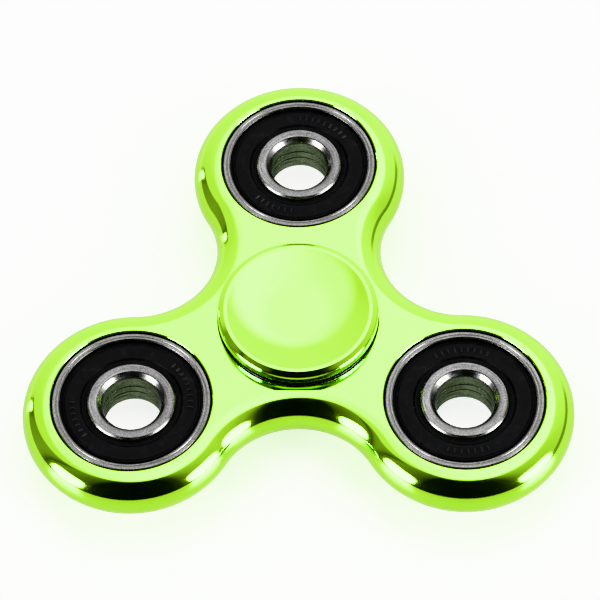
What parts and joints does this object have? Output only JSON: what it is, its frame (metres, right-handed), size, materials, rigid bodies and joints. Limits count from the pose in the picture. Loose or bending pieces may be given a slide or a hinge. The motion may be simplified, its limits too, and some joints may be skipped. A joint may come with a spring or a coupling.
{
  "type": "fidget spinner",
  "caption": "Lobed fidget spinner: a mirror-plated rotor, weighted by ball bearings in its lobes, that spins between dished finger caps on a central bearing.",
  "frame": {"origin": "on the spin axis, at mid-thickness of the rotor, which is the centre of mass", "axes": "+Z along the spin axis out of the upper cap, +Y towards the back lobe, +X to the right across the two front lobes"},
  "size_m": [0.075, 0.069, 0.0126],
  "materials": {
    "body_plating": "moulded plastic, vacuum-plated and tinted to a mirror-bright yellow-green",
    "cap_plating": "moulded plastic, vacuum-plated and tinted to a mirror-bright yellow-green",
    "outer_ring_steel": "ground bearing steel with fine turning lines",
    "inner_ring_steel": "ground bearing steel, polished bevel and bore",
    "ball_steel": "polished ball",
    "cage_steel": "pressed steel sheet",
    "rivet_steel": "upset wire rivet",
    "seal_rubber": "matte moulded nitrile rubber"
  },
  "bodies": {
    "hub": {"cap_upper": "cap_plating", "cap_lower": "cap_plating", "centre_inner_ring": "inner_ring_steel"},
    "rotor": {"rotor_body": "body_plating", "centre_outer_ring": "outer_ring_steel", "centre_seal_upper": "seal_rubber", "centre_seal_lower": "seal_rubber", "back_outer_ring": "outer_ring_steel", "back_seal_upper": "seal_rubber", "back_seal_lower": "seal_rubber", "left_outer_ring": "outer_ring_steel", "left_seal_upper": "seal_rubber", "left_seal_lower": "seal_rubber", "right_outer_ring": "outer_ring_steel", "right_seal_upper": "seal_rubber", "right_seal_lower": "seal_rubber"},
    "centre_cage": {"centre_balls": "ball_steel", "centre_cage_upper": "cage_steel", "centre_cage_lower": "cage_steel", "centre_cage_rivets": "rivet_steel"},
    "back_inner": {"back_inner_ring": "inner_ring_steel"},
    "back_cage": {"back_balls": "ball_steel", "back_cage_upper": "cage_steel", "back_cage_lower": "cage_steel", "back_cage_rivets": "rivet_steel"},
    "left_inner": {"left_inner_ring": "inner_ring_steel"},
    "left_cage": {"left_balls": "ball_steel", "left_cage_upper": "cage_steel", "left_cage_lower": "cage_steel", "left_cage_rivets": "rivet_steel"},
    "right_inner": {"right_inner_ring": "inner_ring_steel"},
    "right_cage": {"right_balls": "ball_steel", "right_cage_upper": "cage_steel", "right_cage_lower": "cage_steel", "right_cage_rivets": "rivet_steel"}
  },
  "joints": [
    {"name": "rotor_spin", "type": "hinge", "parent": "hub", "child": "rotor", "pos_m": [0, 0, 0], "axis": [0, 0, 1], "continuous": true},
    {"name": "centre_cage_spin", "type": "hinge", "parent": "hub", "child": "centre_cage", "pos_m": [0, 0, 0], "axis": [0, 0, 1], "continuous": true},
    {"name": "back_inner_spin", "type": "hinge", "parent": "rotor", "child": "back_inner", "pos_m": [0, 0.026, 0], "axis": [0, 0, 1], "continuous": true},
    {"name": "back_cage_spin", "type": "hinge", "parent": "rotor", "child": "back_cage", "pos_m": [0, 0.026, 0], "axis": [0, 0, 1], "continuous": true},
    {"name": "left_inner_spin", "type": "hinge", "parent": "rotor", "child": "left_inner", "pos_m": [-0.02252, -0.013, 0], "axis": [0, 0, 1], "continuous": true},
    {"name": "left_cage_spin", "type": "hinge", "parent": "rotor", "child": "left_cage", "pos_m": [-0.02252, -0.013, 0], "axis": [0, 0, 1], "continuous": true},
    {"name": "right_inner_spin", "type": "hinge", "parent": "rotor", "child": "right_inner", "pos_m": [0.02252, -0.013, 0], "axis": [0, 0, 1], "continuous": true},
    {"name": "right_cage_spin", "type": "hinge", "parent": "rotor", "child": "right_cage", "pos_m": [0.02252, -0.013, 0], "axis": [0, 0, 1], "continuous": true}
  ],
  "couplings": [
    {"joint": "centre_cage_spin", "follows": "rotor_spin", "ratio": 0.6323},
    {"joint": "back_cage_spin", "follows": "back_inner_spin", "ratio": 0.3677},
    {"joint": "left_cage_spin", "follows": "left_inner_spin", "ratio": 0.3677},
    {"joint": "right_cage_spin", "follows": "right_inner_spin", "ratio": 0.3677}
  ]
}
